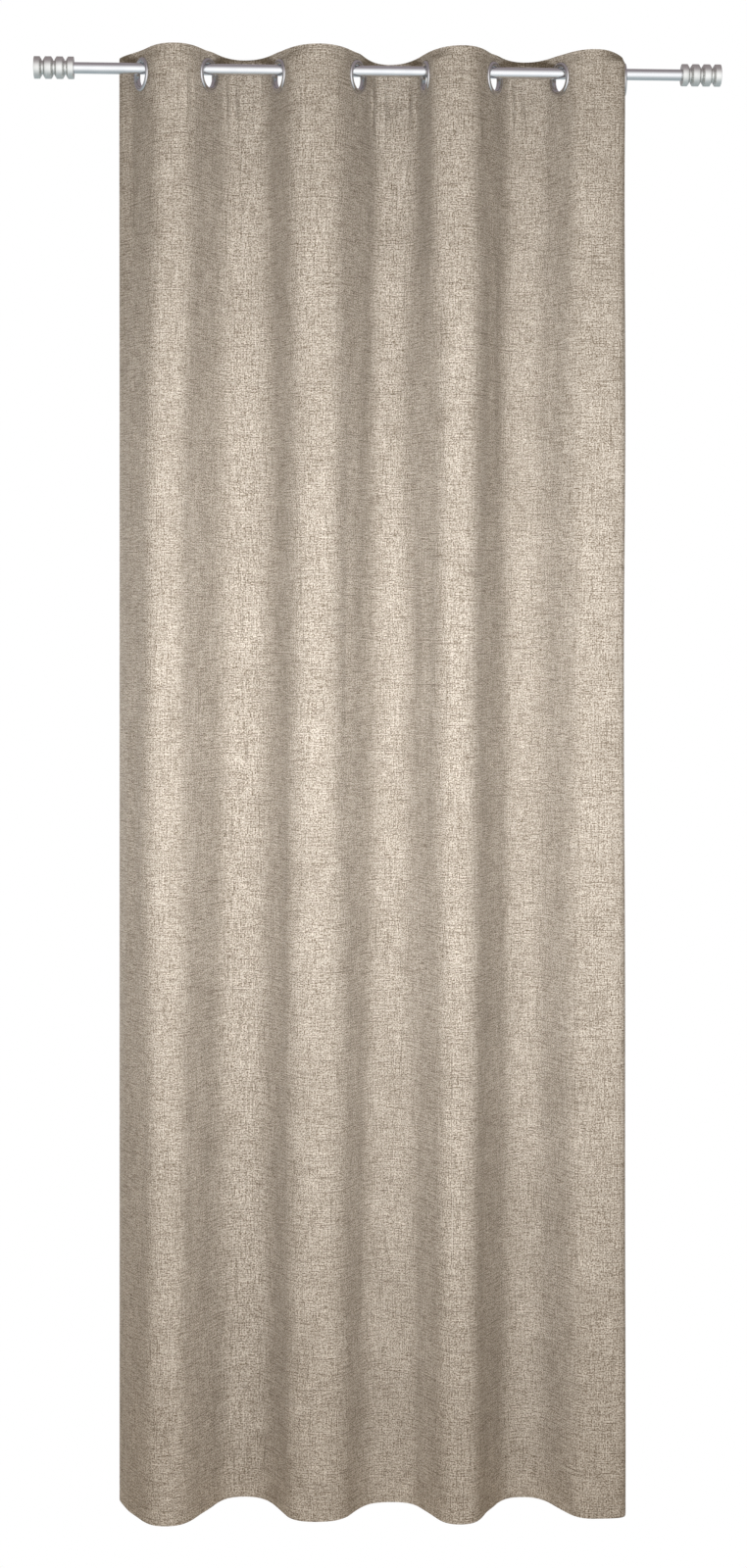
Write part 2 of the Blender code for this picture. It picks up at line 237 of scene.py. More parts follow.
def linen():
    """Slubby plain weave: pale and dark yarns cross, some threads thicken for a finger's length."""
    material, nodes, links, shader = new_material("linen_weave")
    flat = node(nodes, "ShaderNodeUVMap", uv_map="flat_cloth").outputs["UV"]
    across, down = (staggered(nodes, links, flat, axis) for axis in "XY")
    warp = stretched_noise(nodes, links, down, (560, 60, 1), 1, 0.5)
    weft = stretched_noise(nodes, links, across, (60, 560, 1), 1, 0.5)
    fleck = stretched_noise(nodes, links, flat, (400, 430, 1), 1, 0.5)
    slub_across = stretched_noise(nodes, links, across, (18, 560, 1), 1, 0.5)
    slub_down = stretched_noise(nodes, links, down, (560, 16, 1), 1, 0.5)
    cloud = stretched_noise(nodes, links, flat, (14, 9, 1), 3, 0.6)
    over = node(nodes, "ShaderNodeTexChecker", Scale=YARNS_PER_METRE)
    links.new(flat, over.inputs["Vector"])
    yarn = node(nodes, "ShaderNodeMix", data_type="FLOAT")
    links.new(over.outputs["Fac"], yarn.inputs["Factor"])
    links.new(warp, yarn.inputs[2])
    links.new(weft, yarn.inputs[3])
    threads = combine(nodes, links, "ADD", combine(nodes, links, "MULTIPLY", warp, 0.5),
                      combine(nodes, links, "MULTIPLY", weft, 0.5))
    grain = combine(nodes, links, "ADD", combine(nodes, links, "MULTIPLY", threads, THREAD_SHARE),
                    combine(nodes, links, "MULTIPLY", fleck, FLECK_SHARE))
    crossing = combine(nodes, links, "MULTIPLY", yarn.outputs[0], CROSSING_SHARE)
    grain = combine(nodes, links, "ADD", grain, crossing)
    colour = tint(nodes, links, ramp(nodes, links, grain, 0.392, 0.608), YARN_DARK, YARN_PALE)
    dark = combine(nodes, links, "MAXIMUM", ramp(nodes, links, slub_across, 0.60, 0.69),
                   ramp(nodes, links, slub_down, 0.61, 0.70))
    colour = tint(nodes, links, combine(nodes, links, "MULTIPLY", dark, DARK_SLUB_SHARE), colour, SLUB_DARK)
    pale = combine(nodes, links, "MAXIMUM", ramp(nodes, links, slub_across, 0.33, 0.26),
                   ramp(nodes, links, slub_down, 0.33, 0.26))
    colour = tint(nodes, links, combine(nodes, links, "MULTIPLY", pale, PALE_SLUB_SHARE), colour, SLUB_PALE)
    colour = tint(nodes, links, ramp(nodes, links, cloud, 0.35, 0.65, 0.0, 0.16), colour, SLUB_DARK)
    links.new(colour, shader.inputs["Base Color"])
    slubs = combine(nodes, links, "ADD", dark, pale)
    height = combine(nodes, links, "ADD", grain, combine(nodes, links, "MULTIPLY", slubs, 0.25))
    bump = node(nodes, "ShaderNodeBump", Strength=0.55, Distance=0.0012)
    links.new(height, bump.inputs["Height"])
    links.new(bump.outputs["Normal"], shader.inputs["Normal"])
    links.new(ramp(nodes, links, grain, 0.3, 0.7, 0.95, 0.82), shader.inputs["Roughness"])
    shader.inputs["Specular IOR Level"].default_value = 0.2
    shader.inputs["Sheen Weight"].default_value = 0.08
    shader.inputs["Sheen Roughness"].default_value = 0.5
    return material


def thread():
    """Sewing thread, a shade darker than the cloth, with the twist of its plies."""
    material, nodes, links, shader = new_material("sewing_thread")
    place = node(nodes, "ShaderNodeTexCoord").outputs["Object"]
    twist = stretched_noise(nodes, links, place, (2200, 2200, 2200), 1, 0.5)
    links.new(tint(nodes, links, ramp(nodes, links, twist, 0.35, 0.65), (0.19, 0.155, 0.12, 1),
                   (0.34, 0.29, 0.235, 1)), shader.inputs["Base Color"])
    shader.inputs["Roughness"].default_value = 0.75
    return material


def metal(name, colour, dull_colour, roughness, scale, bump_strength):
    """Metal with fine tool marks drawn out by scale, and slight patches of duller finish."""
    material, nodes, links, shader = new_material(name)
    place = node(nodes, "ShaderNodeTexCoord").outputs["Object"]
    marks = stretched_noise(nodes, links, place, scale, 2, 0.6)
    patches = stretched_noise(nodes, links, place, (30, 30, 30), 2, 0.5)
    links.new(tint(nodes, links, ramp(nodes, links, patches, 0.3, 0.7), colour, dull_colour),
              shader.inputs["Base Color"])
    both = combine(nodes, links, "ADD", marks, patches)
    links.new(ramp(nodes, links, both, 0.7, 1.3, *roughness), shader.inputs["Roughness"])
    shader.inputs["Metallic"].default_value = 1.0
    bump = node(nodes, "ShaderNodeBump", Strength=bump_strength, Distance=0.0002)
    links.new(marks, bump.inputs["Height"])
    links.new(bump.outputs["Normal"], shader.inputs["Normal"])
    return material


LINEN = linen()
THREAD = thread()
CHROME = metal("eyelet_plate", (0.66, 0.65, 0.66, 1), (0.58, 0.575, 0.585, 1), (0.10, 0.20),
               (400, 400, 400), 0.05)
TUBE = metal("rod_steel", (0.74, 0.745, 0.76, 1), (0.70, 0.71, 0.73, 1), (0.14, 0.24),
             (12, 900, 900), 0.10)
TURNED = metal("turned_aluminium", (0.80, 0.80, 0.78, 1), (0.74, 0.74, 0.72, 1), (0.34, 0.48),
               (1600, 20, 20), 0.25)
DARK_STEEL = metal("screw_steel", (0.10, 0.10, 0.11, 1), (0.07, 0.07, 0.075, 1), (0.30, 0.45),
                   (500, 500, 500), 0.1)


# -------------------------------------------------------------------------------- shape of folds
def bezier(points, t):
    """Points of rows of cubic curves; each control point is (rows, 2), t is (samples,)."""
    a, b, c, d = (p[:, None, :] for p in points)
    t = t[None, :, None]
    return a * (1 - t) ** 3 + b * 3 * t * (1 - t) ** 2 + c * 3 * t * t * (1 - t) + d * t ** 3


def half_curve(angle, half_pitch, depth, flat, reach, crest_reach):
    """From the eyelet's line at (0, 0) to the crest, one curve for every row of the cloth."""
    heading = np.stack((np.cos(angle), np.sin(angle)), axis=1)
    start = heading * flat[:, None]
    end = np.stack((half_pitch, depth), axis=1)
    span = np.linalg.norm(end - start, axis=1)[:, None]
    from_flat = start + heading * span * reach[:, None]
    to_crest = end - np.array([[1.0, 0.0]]) * span * crest_reach[:, None]
    curve = bezier((start, from_flat, to_crest, end), np.linspace(0, 1, CURVE_POINTS))
    return np.concatenate((np.zeros((len(angle), 1, 2)), curve), axis=1)


def lengths(curve):
    steps = np.linalg.norm(np.diff(curve, axis=1), axis=2)
    return np.concatenate((np.zeros((len(curve), 1)), np.cumsum(steps, axis=1)), axis=1)


def side_of(fold):
    return 1 if fold % 2 else -1


def smooth(t):
    t = np.clip(t, 0, 1)
    return t * t * (3 - 2 * t)


def row_shape(heights):
    """Eyelet lines, strip angles and flats at every row, from the heading's to those below it."""
    stiff_end = EYELET_Z - STIFF_BELOW
    below = stiff_end - heights
    low = smooth(below / DRIFT_HEIGHT)
    hem = smooth(below / (stiff_end - CLOTH_BOTTOM))
    free = smooth((heights - EYELET_Z - FREE_FROM) / FREE_OVER)
    places = [x + low * drift * MM for x, drift in zip(EYELETS, DRIFT)]
    angles = [a + (math.radians(b) - a) * low + (math.radians(c) - a) * free
              for a, b, c in zip(ANGLES, ANGLE_LOW, ANGLE_TOP)]
    flat = FLAT_HALF + (FLAT_HALF_LOW - FLAT_HALF) * low + (FLAT_HALF_TOP - FLAT_HALF) * free
    return low, hem, free, places, angles, flat


def fold_rows(fold, heights):
    """Plan places along one fold, from eyelet to eyelet, as (rows, samples, 2)."""
    low, hem, free, places, angles, flat = row_shape(heights)
    pitch = places[fold + 1] - places[fold]
    depth = DEPTH_TOP[fold] + (DEPTH_HEM[fold] - DEPTH_TOP[fold]) * hem
    last = low * (fold == CREST_COUNT - 1)
    reach = BEND_REACH + (BEND_REACH_TOP - BEND_REACH) * free
    crest_reach = np.full(len(heights), BEND_REACH)
    before = half_curve(angles[fold], pitch / 2, depth, flat, reach, crest_reach)
    reach = reach + (LAST_BEND_REACH - BEND_REACH) * last
    crest_reach = crest_reach + (LAST_CREST_REACH - BEND_REACH) * last
    after = half_curve(angles[fold + 1], pitch / 2, depth, flat, reach, crest_reach)
    side = side_of(fold)
    first = np.stack((places[fold][:, None] + before[:, :, 0], side * before[:, :, 1]), axis=2)
    second = np.stack((places[fold + 1][:, None] - after[:, :, 0], side * after[:, :, 1]), axis=2)
    return np.concatenate((first, second[:, ::-1][:, 1:]), axis=1)


def tail_curve(angle, end, flat, belly):
    """A side margin that swings forward by belly between its eyelet and its edge, per row."""
    along = (np.arange(TAIL_STEPS) + 0.5) / TAIL_STEPS * SIDE_MARGIN
    share = np.clip((along[None, :] - flat[:, None]) / (SIDE_MARGIN - flat[:, None]), 0, 1)
    turn = angle[:, None] + (end - angle)[:, None] * share - belly[:, None] * np.sin(math.pi * share)
    step = np.stack((np.cos(turn), np.sin(turn)), axis=2) * SIDE_MARGIN / TAIL_STEPS
    return np.concatenate((np.zeros((len(angle), 1, 2)), np.cumsum(step, axis=1)), axis=1)


def tail_rows(which, heights):
    """Plan places of a side margin; the left one's edge hangs straight down."""
    low, _, _, places, angles, flat = row_shape(heights)
    index = 0 if which == "left" else len(EYELETS) - 1
    top_end, low_end = np.radians(TAIL_ANGLE[which])
    end = top_end + (low_end - top_end) * low
    belly = np.zeros(len(heights))
    if which == "left":
        least, most = (np.full(len(heights), limit) for limit in BELLY_LIMITS)
        for _ in range(BELLY_TRIES):
            belly = (least + most) / 2
            short = tail_curve(angles[index], end, flat, belly)[:, -1, 0] < places[index] - LEFT_EDGE_X
            least = np.where(short, belly, least)
            most = np.where(short, most, belly)
    curve = tail_curve(angles[index], end, flat, belly)
    away = -1 if which == "left" else 1
    return np.stack((places[index][:, None] + away * curve[:, :, 0], curve[:, :, 1]), axis=2)


# --------------------------------------------------------------------------------- cloth meshes
def row_heights():
    """Rows are close together in the heading and at the hem's seam, and wider between them."""
    heading = CLOTH_TOP - np.arange(0, HEADING_HEIGHT - 0.0005, 0.003)
    heading_seam = CLOTH_TOP - HEADING_HEIGHT + np.array((0.0008, 0, -0.0008))
    under = CLOTH_TOP - HEADING_HEIGHT - np.arange(0.004, 0.10, 0.004)
    seam = CLOTH_BOTTOM + BOTTOM_HEM
    body = np.linspace(under[-1] - 0.010, seam + 0.012, BODY_ROWS)
    hem_seam = seam + np.array((0.004, 0.0016, 0.0008, 0, -0.0008, -0.0016, -0.004))
    hem = np.linspace(seam - 0.008, CLOTH_BOTTOM, 7)
    return np.concatenate((heading, heading_seam, under, body, hem_seam, hem))


HEIGHTS = row_heights()

# Short upright wrinkles where the cloth is pushed together behind the rod. Each has its distance
# along the cloth from the fold's first eyelet (a share of the spacing), its half width and its
# height in mm, and its length in m.
WRINKLES = {
    1: ((0.30, 4.4, 3.8, 0.10), (0.40, 4.4, 6.8, 0.10), (0.465, 3.6, -5.2, 0.09),
        (0.60, 4.8, 3.8, 0.12)),
    3: ((0.28, 4.4, 4.6, 0.10), (0.355, 4.0, -5.2, 0.11), (0.43, 4.2, 6.6, 0.12),
        (0.50, 3.8, -6.0, 0.10), (0.57, 4.1, 6.8, 0.12), (0.64, 4.0, -5.2, 0.10),
        (0.71, 4.4, 4.6, 0.12)),
    5: ((0.36, 4.8, 3.8, 0.10), (0.45, 4.6, 4.2, 0.10), (0.52, 4.2, -4.2, 0.09),
        (0.62, 4.8, 3.8, 0.11)),
    0: ((0.62, 5.0, 2.2, 0.11), (0.69, 4.4, -2.0, 0.12)),
    2: ((0.36, 5.5, 1.4, 0.12), (0.66, 5.5, 1.4, 0.12)),
}
WRINKLE_PEAK = 0.35             # a wrinkle is highest at this share of its length


def wrinkle_height(fold, share, height):
    """How far the wrinkles of one fold stand out of the cloth."""
    total = np.zeros_like(share)
    for centre, width, rise, length in WRINKLES.get(fold, ()):
        across = np.exp(-((share - centre) * EYELET_SPACING / (width * MM)) ** 2)
        below = (ROD_UNDERSIDE - height) / length
        along = np.clip(1 - np.abs(below - WRINKLE_PEAK) / (1 - WRINKLE_PEAK), 0, 1) ** 1.5
        total += rise * MM * across * along
    return total


def slow_waves(along, height):
    """Soft unevenness of hanging cloth, fading out in the stiff heading."""
    fade = np.clip((CLOTH_TOP - HEADING_HEIGHT - height) / WAVE_FADE, 0, 1)
    waves = np.zeros_like(along)
    for across, down, phase, size in SLOW_WAVES:
        waves += size * np.sin(across * along + down * height + phase)
    return waves * fade


WAVE_FADE = 0.35
SLOW_WAVES = [(RNG.uniform(18, 46), RNG.uniform(2, 7) * RNG.choice((-1, 1)), RNG.uniform(0, 6.28),
               RNG.uniform(0.25, 0.6) * MM) for _ in range(9)]


def grid_places(rows_of_plan, along):
    """Plan places of a grid of cloth. along is (rows, columns) from the piece's first edge."""
    measured = lengths(rows_of_plan)
    full = along.max()
    plan = np.empty(along.shape + (2,))
    for r in range(len(along)):
        scaled = measured[r] / measured[r, -1] * full
        plan[r, :, 0] = np.interp(along[r], scaled, rows_of_plan[r, :, 0])
        plan[r, :, 1] = np.interp(along[r], scaled, rows_of_plan[r, :, 1])
    return plan


def round_holes(along, height, centres):
    """Pulls the grid's nearest points onto each eyelet's hole."""
    for centre in centres:
        da = along - centre
        dh = height - EYELET_Z
        away = np.hypot(da, dh)
        near = (np.abs(away - HOLE_RADIUS) < HOLE_PULL) & (away > 0)
        pull = np.where(near, HOLE_RADIUS / np.maximum(away, TINY), 1)
        along = np.where(np.abs(da) < TINY, along, centre + da * pull)
        height = EYELET_Z + dh * pull
    return along, height


def cloth_thickness(from_left, height):
    """How far the room side and the wall side stand from the cloth's middle."""
    in_heading = height > CLOTH_TOP - HEADING_HEIGHT - 1e-6
    in_hem = height < CLOTH_BOTTOM + BOTTOM_HEM + 1e-6
    in_side = (from_left < SIDE_HEM + 1e-6) | (from_left > CLOTH_WIDTH - SIDE_HEM - 1e-6)
    back = BACK_FACE + np.where(in_heading, HEADING_EXTRA, np.where(in_hem | in_side, HEM_EXTRA, 0))
    seam = np.exp(-((height - CLOTH_BOTTOM - BOTTOM_HEM) / SEAM_HALF) ** 2)
    below_heading = height < CLOTH_TOP - HEADING_HEIGHT
    for edge in (SIDE_HEM, CLOTH_WIDTH - SIDE_HEM):
        seam = np.maximum(seam, np.exp(-((from_left - edge) / SEAM_HALF) ** 2) * below_heading)
    front = FRONT_FACE - SEAM_GROOVE * seam
    rim = (height > CLOTH_TOP - 1e-6) | (height < CLOTH_BOTTOM + 1e-6)
    return np.where(rim, front * 0.4, front), np.where(rim, back * 0.5, back)


LEFT_EDGE, RIGHT_EDGE = -1, CREST_COUNT + 1    # what stands for a fold's number at the two margins


def cloth_piece(name, plan_rows, along_columns, start_along, hole_centres, fold):
    """A closed piece of cloth: room side, wall side and the edges between them."""
    along = np.repeat(along_columns[None, :], len(HEIGHTS), axis=0)
    height = np.repeat(HEIGHTS[:, None], len(along_columns), axis=1)
    along, height = round_holes(along, height, hole_centres)
    plan = grid_places(plan_rows, along)
    places = np.dstack((plan, height - heading_dip(fold, along, height)))
    across = np.gradient(places, axis=1)
    across[:, :, 2] = 0
    across /= np.linalg.norm(across, axis=2, keepdims=True)
    outwards = np.stack((across[:, :, 1], -across[:, :, 0], np.zeros(along.shape)), axis=2)
    from_left = start_along + along
    lift = slow_waves(from_left, height) * edge_fade(along, along_columns[-1])
    lift += wrinkle_height(fold, along / EYELET_SPACING, height)
    places = places + outwards * lift[:, :, None]
    front, back = cloth_thickness(from_left, height)
    room_side = places + outwards * front[:, :, None]
    wall_side = places - outwards * back[:, :, None]
    rows, columns = along.shape
    count = rows * columns
    number = np.arange(count).reshape(rows, columns)
    mid_along = (along[:-1, :-1] + along[1:, 1:]) / 2
    mid_height = (height[:-1, :-1] + height[1:, 1:]) / 2
    keep = np.ones(mid_along.shape, bool)
    for centre in hole_centres:
        keep &= np.hypot(mid_along - centre, mid_height - EYELET_Z) > HOLE_RADIUS - 0.4 * MM
    corners = (number[:-1, :-1], number[1:, :-1], number[1:, 1:], number[:-1, 1:])
    quads = np.stack(corners, axis=2)[keep]
    edges = {}
    for quad in quads.tolist():
        for a, b in zip(quad, quad[1:] + quad[:1]):
            if (b, a) in edges:
                del edges[(b, a)]
            else:
                edges[(a, b)] = True
    walls = [(b, a, a + count, b + count) for a, b in edges]
    faces = quads.tolist() + (quads[:, ::-1] + count).tolist() + walls
    points = np.concatenate((room_side.reshape(-1, 3), wall_side.reshape(-1, 3)))
    flat_uv = np.stack((from_left.ravel(), height.ravel() - CLOTH_BOTTOM), axis=1)
    flat_uv = np.concatenate((flat_uv, flat_uv + np.array((WALL_SIDE_SHIFT, 0.0))))
    obj = mesh_piece(name, points, faces, flat_uv, LINEN)
    border = {tuple(sorted(edge)) for edge in edges}
    border |= {tuple(sorted((a + count, b + count))) for a, b in edges}
    mark_sharp(obj.data, border)
    drop_loose(obj.data)
    return obj, places, outwards, from_left


def heading_dip(fold, along, height):
    """How far the cloth hangs below its drawn height: between eyelets, and at the right corner."""
    share = along / EYELET_SPACING
    dip = np.zeros_like(along)
    fade = smooth((height - EYELET_Z + SAG_FADE) / SAG_FADE)
    if 0 <= fold < CREST_COUNT:
        dip += SAG[fold] * MM * np.sin(math.pi * share) ** 2 * fade
    above_ring = smooth((height - EYELET_Z - HOLE_RADIUS) / CORNER_OVER)
    if fold == CREST_COUNT - 1:
        dip += CORNER_DROOP * smooth((share - CORNER_FROM) / (1 - CORNER_FROM)) * above_ring
    if fold == RIGHT_EDGE:
        dip += CORNER_DROOP * above_ring
    return dip


def edge_fade(along, width):
    """0 on both long edges of a piece and 1 inside it, so that neighbours meet exactly."""
    return np.clip(np.minimum(along, width - along) / EDGE_FADE, 0, 1) ** 2


def mesh_piece(name, points, faces, uv, material):
    mesh = bpy.data.meshes.new(name)
    mesh.from_pydata(np.asarray(points).tolist(), [], faces)
    if uv is not None:
        layer = mesh.uv_layers.new(name="flat_cloth")
        corner = np.empty(len(mesh.loops), np.int32)
        mesh.loops.foreach_get("vertex_index", corner)
        layer.data.foreach_set("uv", uv[corner].ravel().astype(np.float32))
    mesh.shade_smooth()
    mesh.materials.append(material)
    obj = bpy.data.objects.new(name, mesh)
    bpy.context.scene.collection.objects.link(obj)
    return obj


def mark_sharp(mesh, border):
    """Keeps the cut edges of a sheet crisp, so that its faces shade on their own."""
    pairs = np.empty(len(mesh.edges) * 2, np.int32)
    mesh.edges.foreach_get("vertices", pairs)
    sharp = [tuple(sorted(pair)) in border for pair in pairs.reshape(-1, 2).tolist()]
    attribute = mesh.attributes.new("sharp_edge", "BOOLEAN", "EDGE")
    attribute.data.foreach_set("value", sharp)


def drop_loose(mesh):
    shape = bmesh.new()
    shape.from_mesh(mesh)
    loose = [vert for vert in shape.verts if not vert.link_faces]
    bmesh.ops.delete(shape, geom=loose, context="VERTS")
    shape.to_mesh(mesh)
    shape.free()


# --------------------------------------------------------------------------------------- stitches
def stitch_tree():
    """Geometry nodes that lay a row of thread stitches along a polyline."""
    tree = bpy.data.node_groups.new("stitch_row", "GeometryNodeTree")
    face = tree.interface
    face.new_socket("Path", in_out="INPUT", socket_type="NodeSocketGeometry")
    for label, value in (("Pitch", 0.004), ("Stitch Length", 0.0030), ("Thread", 0.00055)):
        face.new_socket(label, in_out="INPUT", socket_type="NodeSocketFloat").default_value = value
    face.new_socket("Stitches", in_out="OUTPUT", socket_type="NodeSocketGeometry")
    nodes, links = tree.nodes, tree.links
    given = nodes.new("NodeGroupInput")
    curve = nodes.new("GeometryNodeMeshToCurve")
    resample = nodes.new("GeometryNodeResampleCurve")
    resample.mode = "LENGTH"
    links.new(given.outputs["Path"], curve.inputs["Mesh"])
    links.new(curve.outputs["Curve"], resample.inputs["Curve"])
    links.new(given.outputs["Pitch"], resample.inputs["Length"])
    bead = nodes.new("GeometryNodeMeshUVSphere")
    bead.inputs["Segments"].default_value = 6
    bead.inputs["Rings"].default_value = 4
    bead.inputs["Radius"].default_value = 0.5
    tangent = nodes.new("GeometryNodeInputTangent")
    align = nodes.new("FunctionNodeAlignRotationToVector")
    align.axis = "Z"
    links.new(tangent.outputs["Tangent"], align.inputs["Vector"])
    size = nodes.new("ShaderNodeCombineXYZ")
    links.new(given.outputs["Thread"], size.inputs["X"])
    links.new(given.outputs["Thread"], size.inputs["Y"])
    links.new(given.outputs["Stitch Length"], size.inputs["Z"])
    place = nodes.new("GeometryNodeInstanceOnPoints")
    links.new(resample.outputs["Curve"], place.inputs["Points"])
    links.new(bead.outputs["Mesh"], place.inputs["Instance"])
    links.new(align.outputs["Rotation"], place.inputs["Rotation"])
    links.new(size.outputs["Vector"], place.inputs["Scale"])
    realize = nodes.new("GeometryNodeRealizeInstances")
    paint = nodes.new("GeometryNodeSetMaterial")
    paint.inputs["Material"].default_value = THREAD
    given_out = nodes.new("NodeGroupOutput")
    links.new(place.outputs["Instances"], realize.inputs["Geometry"])
    links.new(realize.outputs["Geometry"], paint.inputs["Geometry"])
    links.new(paint.outputs["Geometry"], given_out.inputs["Stitches"])
    return tree


STITCH_TREE = stitch_tree()


def stitches(name, paths):
    """One plain mesh of stitches along several polylines."""
    points, edges = [], []
    for path in paths:
        first = len(points)
        points += [tuple(p) for p in path]
        edges += [(first + i, first + i + 1) for i in range(len(path) - 1)]
    mesh = bpy.data.meshes.new(name)
    mesh.from_pydata(points, edges, [])
    obj = bpy.data.objects.new(name, mesh)
    bpy.context.scene.collection.objects.link(obj)
    modifier = obj.modifiers.new("stitch_row", "NODES")
    modifier.node_group = STITCH_TREE
    shape = obj.evaluated_get(bpy.context.evaluated_depsgraph_get())
    plain = bpy.data.meshes.new_from_object(shape)
    obj.modifiers.clear()
    obj.data = plain
    plain.name = name
    plain.shade_smooth()
    return obj


def stitch_paths(places, outwards):
    """The bottom hem's seam on both faces, and the heading's seam on the wall side."""
    hem = int(np.argmin(np.abs(HEIGHTS - (CLOTH_BOTTOM + BOTTOM_HEM))))
    heading = int(np.argmin(np.abs(HEIGHTS - (CLOTH_TOP - HEADING_HEIGHT)))) - 1
    return [places[hem] + outwards[hem] * (FRONT_FACE - SEAM_GROOVE),
            places[hem] - outwards[hem] * (BACK_FACE + HEM_EXTRA),
            places[heading] - outwards[heading] * (BACK_FACE + HEADING_EXTRA)]


def side_paths(places, outwards, from_left):
    """The seam that runs down a side hem, on both faces."""
    edge = SIDE_HEM if from_left[0].min() < SIDE_HEM else CLOTH_WIDTH - SIDE_HEM
    column = int(np.argmin(np.abs(from_left[-1] - edge)))
    rows = (HEIGHTS < CLOTH_TOP - HEADING_HEIGHT) & (HEIGHTS > CLOTH_BOTTOM + STITCH_END)
    front = places[rows, column] + outwards[rows, column] * (FRONT_FACE - SEAM_GROOVE)
    back = places[rows, column] - outwards[rows, column] * (BACK_FACE + HEM_EXTRA)
    return [front, back]


# --------------------------------------------------------------------------------- the curtain
def curtain():
    """One piece of cloth for each fold, from eyelet to eyelet, and the two side margins."""
    for fold in range(CREST_COUNT):
        columns = np.linspace(0, EYELET_SPACING, FOLD_COLUMNS + 1)
        start = SIDE_MARGIN + fold * EYELET_SPACING
        name = f"curtain_fold_{fold + 1}"
        holes = (0, EYELET_SPACING)
        rows = fold_rows(fold, HEIGHTS)
        piece, places, outwards, _ = cloth_piece(name, rows, columns, start, holes, fold)
        sewn = stitches(f"hem_stitches_{fold + 1}", stitch_paths(places, outwards))
        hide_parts(f"curtain_{fold + 1}", f"heading_tape_{fold + 1}")
        for obj in (piece, sewn):
            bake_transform(obj)
    for which in ("left", "right"):
        side_edge(which)


def side_edge(which):
    """The cloth between an end eyelet and its side edge, which turns with its strip."""
    rows = tail_rows(which, HEIGHTS)
    columns = np.linspace(0, SIDE_MARGIN, MARGIN_COLUMNS)
    hem_column = int(np.argmin(np.abs(columns - (SIDE_MARGIN - SIDE_HEM))))
    columns[hem_column] = SIDE_MARGIN - SIDE_HEM
    if which == "left":
        rows = rows[:, ::-1]
        columns = SIDE_MARGIN - columns[::-1]
        start, hole, body, number = 0.0, SIDE_MARGIN, "fold_1", LEFT_EDGE
    else:
        start, hole, number = CLOTH_WIDTH - SIDE_MARGIN, 0.0, RIGHT_EDGE
        body = f"fold_{len(EYELETS)}"
    name = f"curtain_edge_{which}"
    piece, places, outwards, from_left = cloth_piece(name, rows, columns, start, (hole,), number)
    seams = stitch_paths(places, outwards) + side_paths(places, outwards, from_left)
    sewn = stitches(f"edge_stitches_{which}", seams)
    if which == "right":
        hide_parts(f"curtain_{len(EYELETS)}", f"heading_tape_{len(EYELETS)}")
    for obj in (piece, sewn):
        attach(obj, body)


# ------------------------------------------------------------------------------- metal pieces
def arc(centre, radii, first, last, count):
    """Points of an elliptical arc, angles in degrees."""
    angles = np.radians(np.linspace(first, last, count))
    return [(centre[0] + radii[0] * math.cos(a), centre[1] + radii[1] * math.sin(a)) for a in angles]


def turned_piece(name, profile, place, segments, material, sharp=40):
    """A solid turned about local Z from a closed (radius, height) outline in metres."""
    profile = np.array(profile)
    angles = 2 * math.pi * np.arange(segments) / segments
    points, faces, rings = [], [], []
    for radius, height in profile:
        first = len(points)
        if radius < TINY:
            points.append((0, 0, height))
            rings.append([first] * segments)
            continue
        points += [(radius * math.cos(a), radius * math.sin(a), height) for a in angles]
        rings.append(list(range(first, first + segments)))
    for ring, following in zip(rings, rings[1:] + rings[:1]):
        for i in range(segments):
            j = (i + 1) % segments
            corners = list(dict.fromkeys((ring[i], ring[j], following[j], following[i])))
            if len(corners) > 2:
                faces.append(corners)
    obj = mesh_piece(name, points, faces, None, material)
    shape = bmesh.new()
    shape.from_mesh(obj.data)
    bmesh.ops.transform(shape, matrix=place, verts=shape.verts)
    bmesh.ops.recalc_face_normals(shape, faces=shape.faces)
    shape.to_mesh(obj.data)
    shape.free()
    obj.data.set_sharp_from_angle(angle=math.radians(sharp))
    return obj


def eyelet_place(index):
    """Local X along the cloth, Y up and Z towards the room."""
    side = side_of(index)
    along = Vector((math.cos(ANGLES[index]), side * math.sin(ANGLES[index]), 0))
    up = Vector((0, 0, 1))
    turn = Matrix((along, up, along.cross(up))).transposed().to_4x4()
    return Matrix.Translation((EYELETS[index], 0, EYELET_Z)) @ turn


BORE = 0.0200                   # radius of an eyelet's bore
BARREL = 0.0214
BARREL_END = -0.0054            # behind the cloth's middle
BORE_FLARE = 0.0008             # the bore opens towards the wall, so that it turns freely on the rod
ROLL = 0.0031                   # radius of the rolled mouth
ROLL_HEIGHT = 0.0009            # the roll's centre, in front of the cloth's middle
RIM_WIDTH = 0.0033


def rim_profile():
    """Room side: the rolled mouth, a fine step, the bead and the barrel through the cloth."""
    seat = FRONT_FACE - 0.00005
    bead = (EYELET_RADIUS - RIM_WIDTH, 0.0013)
    mouth = BORE + BORE_FLARE
    points = [(mouth + 0.0002, BARREL_END), (mouth, BARREL_END + 0.0005), (BORE, ROLL_HEIGHT)]
    points += arc((BORE + ROLL, ROLL_HEIGHT), (ROLL, ROLL), 180, 84, 9)[1:]
    points += [(bead[0] - 0.00155, 0.0031), (bead[0] - 0.00125, 0.0037)]
    points += arc(bead, (RIM_WIDTH, 0.0032), 108, 0, 12)
    points += [(EYELET_RADIUS, seat), (BARREL, seat), (BARREL, BARREL_END + 0.0003),
               (BARREL - 0.0003, BARREL_END)]
    return points


def washer_profile():
    """Wall side: a rounded washer that snaps over the end of the barrel."""
    seat = -(BACK_FACE + HEADING_EXTRA - 0.00005)
    bead = (EYELET_RADIUS - RIM_WIDTH, -0.0024)
    points = [(BARREL + 0.0002, seat), (EYELET_RADIUS, seat)]
    points += arc(bead, (RIM_WIDTH, 0.0029), 0, -150, 16)
    points += [(BARREL + 0.0002, -0.0036)]
    return points


